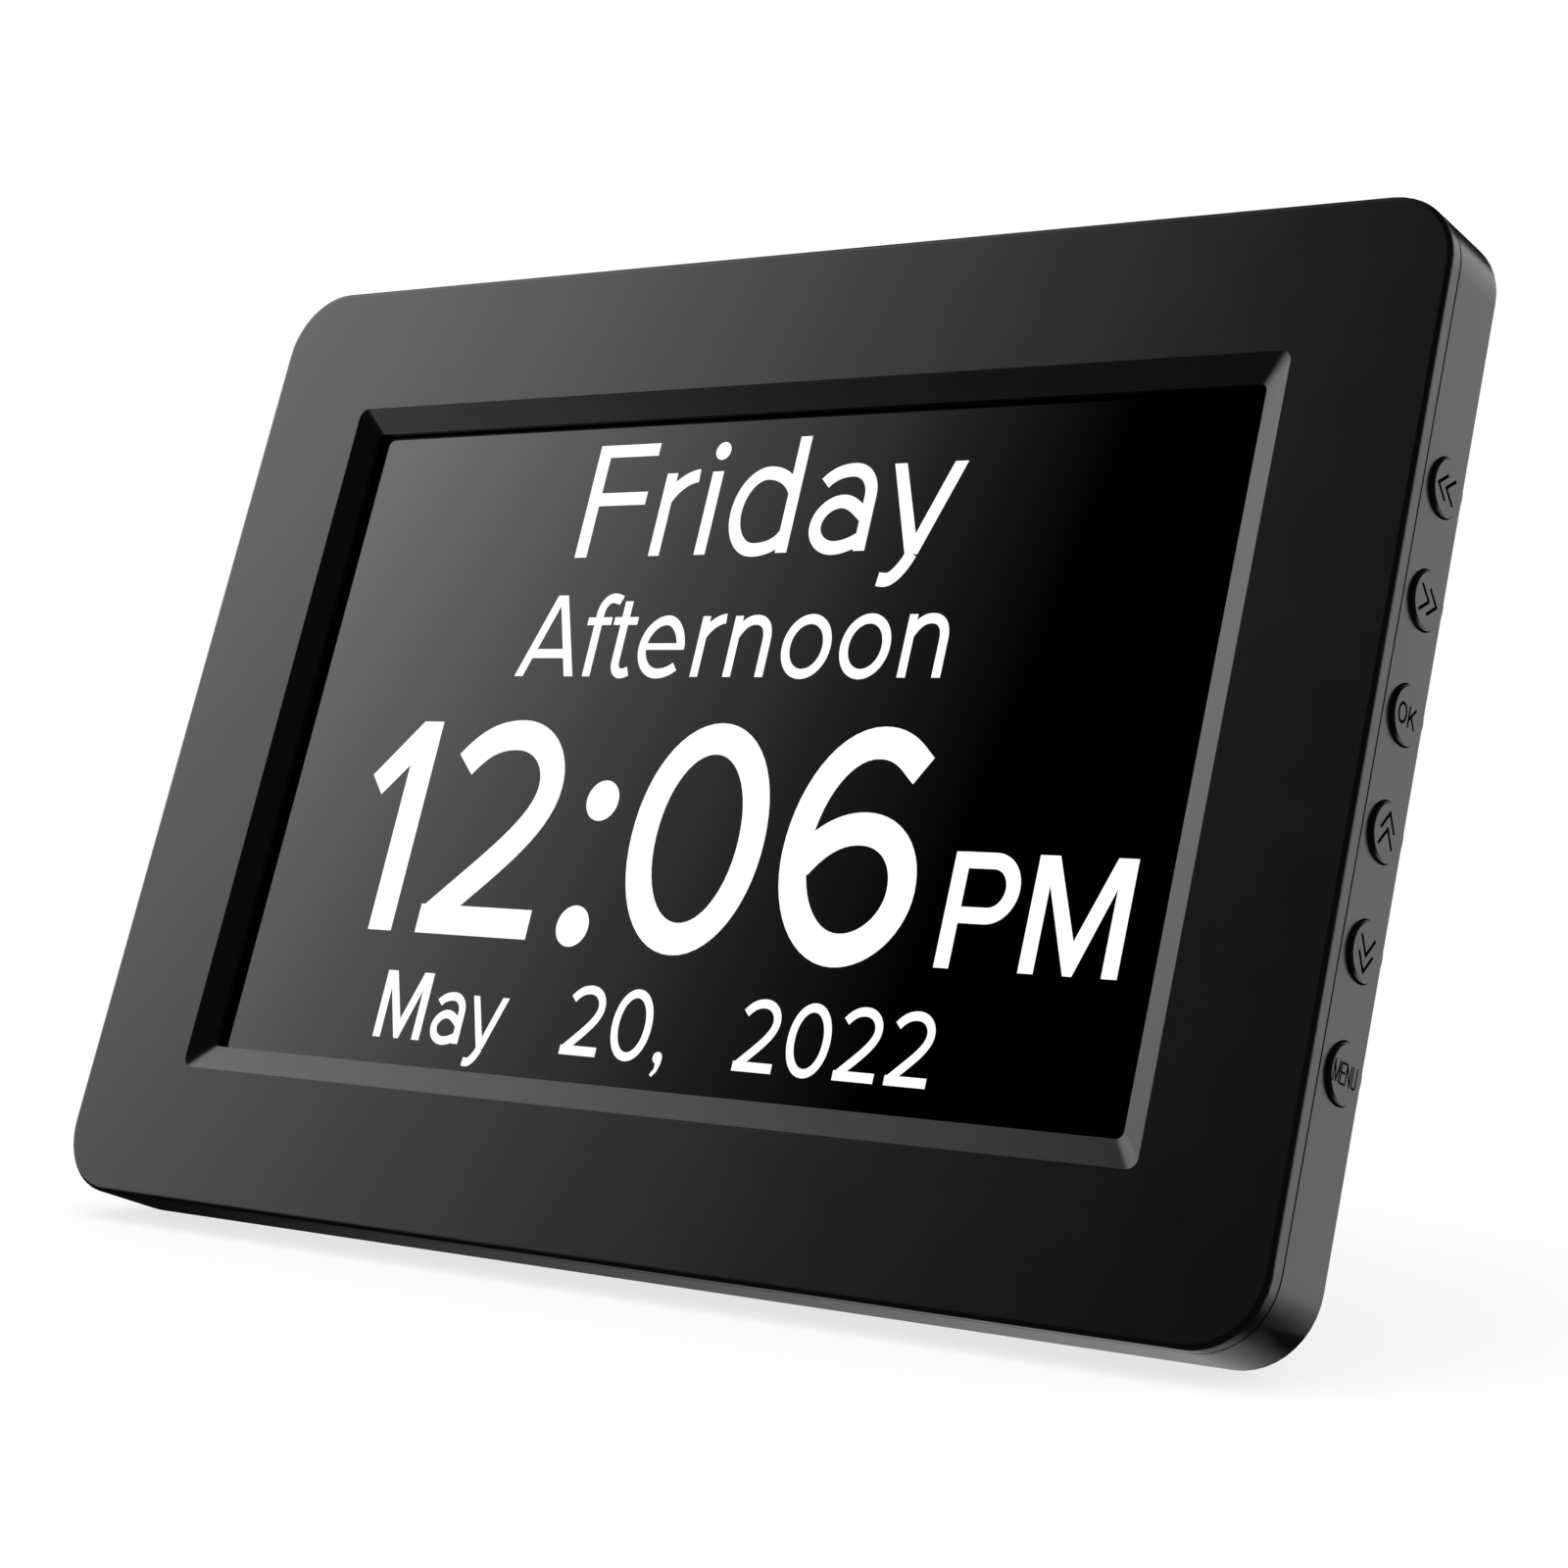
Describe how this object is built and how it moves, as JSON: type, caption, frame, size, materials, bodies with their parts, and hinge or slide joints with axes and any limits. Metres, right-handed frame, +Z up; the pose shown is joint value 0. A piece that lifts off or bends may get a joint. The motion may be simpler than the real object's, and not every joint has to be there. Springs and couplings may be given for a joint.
{
  "type": "day clock",
  "caption": "Wide black digital day clock with a bevelled screen frame, round keys down its right side and a fold-out rear stand.",
  "frame": {"origin": "middle of the footprint's bounding box, on the table the clock stands on", "axes": "+X to the viewer's right along the clock's width, +Y away from the viewer towards the stand, +Z up"},
  "size_m": [0.2006, 0.0736, 0.1354],
  "materials": {
    "case_black": "satin moulded ABS, very fine spark texture",
    "key_black": "satin moulded ABS with engraved legends",
    "display": "dark lit panel behind a smooth polariser",
    "foam": "closed-cell foam tape",
    "sheet_steel": "tinned sheet steel",
    "screw_steel": "zinc-plated steel",
    "acrylic": "clear acrylic sheet",
    "board_green": "glass-fibre board with green solder mask",
    "switch_plastic": "moulded nylon",
    "chip_black": "moulded epoxy or nylon",
    "can_aluminium": "drawn can",
    "cell_steel": "nickel-plated steel",
    "socket_plastic": "moulded nylon",
    "ribbon": "polyimide film",
    "contact_brass": "plated brass",
    "cone_paper": "pressed paper",
    "magnet": "sintered magnet",
    "pad_rubber": "soft moulded pad"
  },
  "bodies": {
    "case": {"front_bezel": "case_black", "screen_gasket": "foam", "display_glass": "display", "backlight_tray": "sheet_steel", "light_strip": "board_green", "light_guide": "acrylic", "panel_clips": "sheet_steel", "clip_screws": "screw_steel", "rear_cover": "case_black", "case_screws": "screw_steel", "key_switches": "switch_plastic", "key_board": "board_green", "main_board": "board_green", "board_screws": "screw_steel", "controller_chip": "chip_black", "memory_chip": "chip_black", "quartz_crystal": "sheet_steel", "capacitors": "can_aluminium", "cell_holder": "chip_black", "coin_cell": "cell_steel", "display_socket": "socket_plastic", "display_ribbon": "ribbon", "key_socket": "socket_plastic", "key_ribbon": "ribbon", "power_jack": "chip_black", "jack_pin": "contact_brass", "speaker_frame": "sheet_steel", "speaker_cone": "cone_paper", "speaker_magnet": "magnet"},
    "stand": {"stand_leg": "case_black", "stand_pad": "pad_rubber", "stand_pin": "screw_steel"},
    "previous_key_body": {"previous_key": "key_black", "previous_plunger": "switch_plastic"},
    "next_key_body": {"next_key": "key_black", "next_plunger": "switch_plastic"},
    "ok_key_body": {"ok_key": "key_black", "ok_plunger": "switch_plastic"},
    "up_key_body": {"up_key": "key_black", "up_plunger": "switch_plastic"},
    "down_key_body": {"down_key": "key_black", "down_plunger": "switch_plastic"},
    "menu_key_body": {"menu_key": "key_black", "menu_plunger": "switch_plastic"}
  },
  "joints": [
    {"name": "stand_hinge", "type": "hinge", "parent": "case", "child": "stand", "pos_m": [0, 0.01006, 0.07206], "axis": [-1, 0, 0], "range_deg": [0, 38]},
    {"name": "previous_press", "type": "slide", "parent": "case", "child": "previous_key_body", "axis": [-1, 0, 0], "range_m": [0, 0.0005], "stiffness_N_per_m": 3000, "springref_m": -0.0002},
    {"name": "next_press", "type": "slide", "parent": "case", "child": "next_key_body", "axis": [-1, 0, 0], "range_m": [0, 0.0005], "stiffness_N_per_m": 3000, "springref_m": -0.0002},
    {"name": "ok_press", "type": "slide", "parent": "case", "child": "ok_key_body", "axis": [-1, 0, 0], "range_m": [0, 0.0005], "stiffness_N_per_m": 3000, "springref_m": -0.0002},
    {"name": "up_press", "type": "slide", "parent": "case", "child": "up_key_body", "axis": [-1, 0, 0], "range_m": [0, 0.0005], "stiffness_N_per_m": 3000, "springref_m": -0.0002},
    {"name": "down_press", "type": "slide", "parent": "case", "child": "down_key_body", "axis": [-1, 0, 0], "range_m": [0, 0.0005], "stiffness_N_per_m": 3000, "springref_m": -0.0002},
    {"name": "menu_press", "type": "slide", "parent": "case", "child": "menu_key_body", "axis": [-1, 0, 0], "range_m": [0, 0.0005], "stiffness_N_per_m": 3000, "springref_m": -0.0002}
  ]
}
